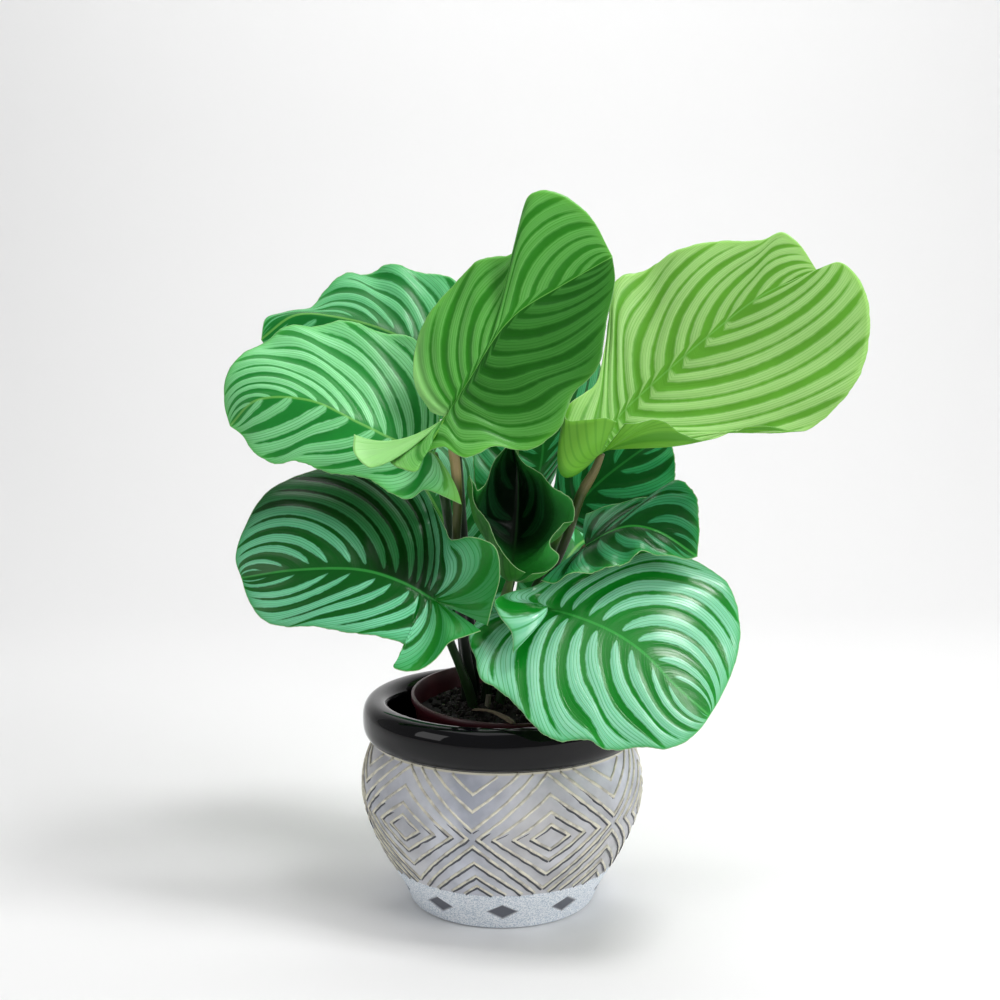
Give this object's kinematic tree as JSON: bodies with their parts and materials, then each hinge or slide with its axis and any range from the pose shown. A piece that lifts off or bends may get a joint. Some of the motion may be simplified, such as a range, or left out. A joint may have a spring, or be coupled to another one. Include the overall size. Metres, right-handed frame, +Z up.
{
  "type": "potted calathea",
  "caption": "Round-leaved striped calathea in a plastic grow pot standing in a glazed, carved decor pot; it stands on its flat foot.",
  "frame": {"origin": "centre of the decor pot's foot, on the surface that it stands on", "axes": "+Z up through the pot, +X to the right seen from the front, the front faces -Y"},
  "size_m": [0.4598, 0.2911, 0.5215],
  "materials": {
    "pot_glaze": "black gloss glaze on the rim, satin grey carved belly, speckled pale foot band",
    "grow_pot_plastic": "thin moulded reddish-brown polypropylene",
    "potting_mix": "dark moist peat and bark crumbs",
    "young_leaf": "fresh light-green leaf with green stripes, satin",
    "leaf": "mint and green striped leaf, glossy",
    "old_leaf": "dark green leaf with lighter stripes, glossy",
    "petiole": "olive to dark green stalk, satin",
    "dry_stalk": "dry tan leaf sheath, matt"
  },
  "bodies": {
    "root": {"decor_pot": "pot_glaze", "nursery_pot": "grow_pot_plastic", "soil": "potting_mix", "top_leaf_blade": "young_leaf", "top_leaf_petiole": "petiole", "right_leaf_blade": "young_leaf", "right_leaf_petiole": "petiole", "left_leaf_blade": "young_leaf", "left_leaf_petiole": "petiole", "back_left_leaf_blade": "leaf", "back_left_leaf_petiole": "petiole", "low_left_leaf_blade": "old_leaf", "low_left_leaf_petiole": "petiole", "inner_leaf_blade": "old_leaf", "inner_leaf_petiole": "petiole", "middle_right_leaf_blade": "old_leaf", "middle_right_leaf_petiole": "petiole", "back_right_leaf_blade": "old_leaf", "back_right_leaf_petiole": "petiole", "low_right_leaf_blade": "leaf", "low_right_leaf_petiole": "petiole", "centre_back_leaf_blade": "leaf", "centre_back_leaf_petiole": "petiole", "rear_left_leaf_blade": "leaf", "rear_left_leaf_petiole": "petiole", "rear_right_leaf_blade": "leaf", "rear_right_leaf_petiole": "petiole", "dry_sheath": "dry_stalk", "petiole_stub": "dry_stalk"}
  },
  "joints": []
}
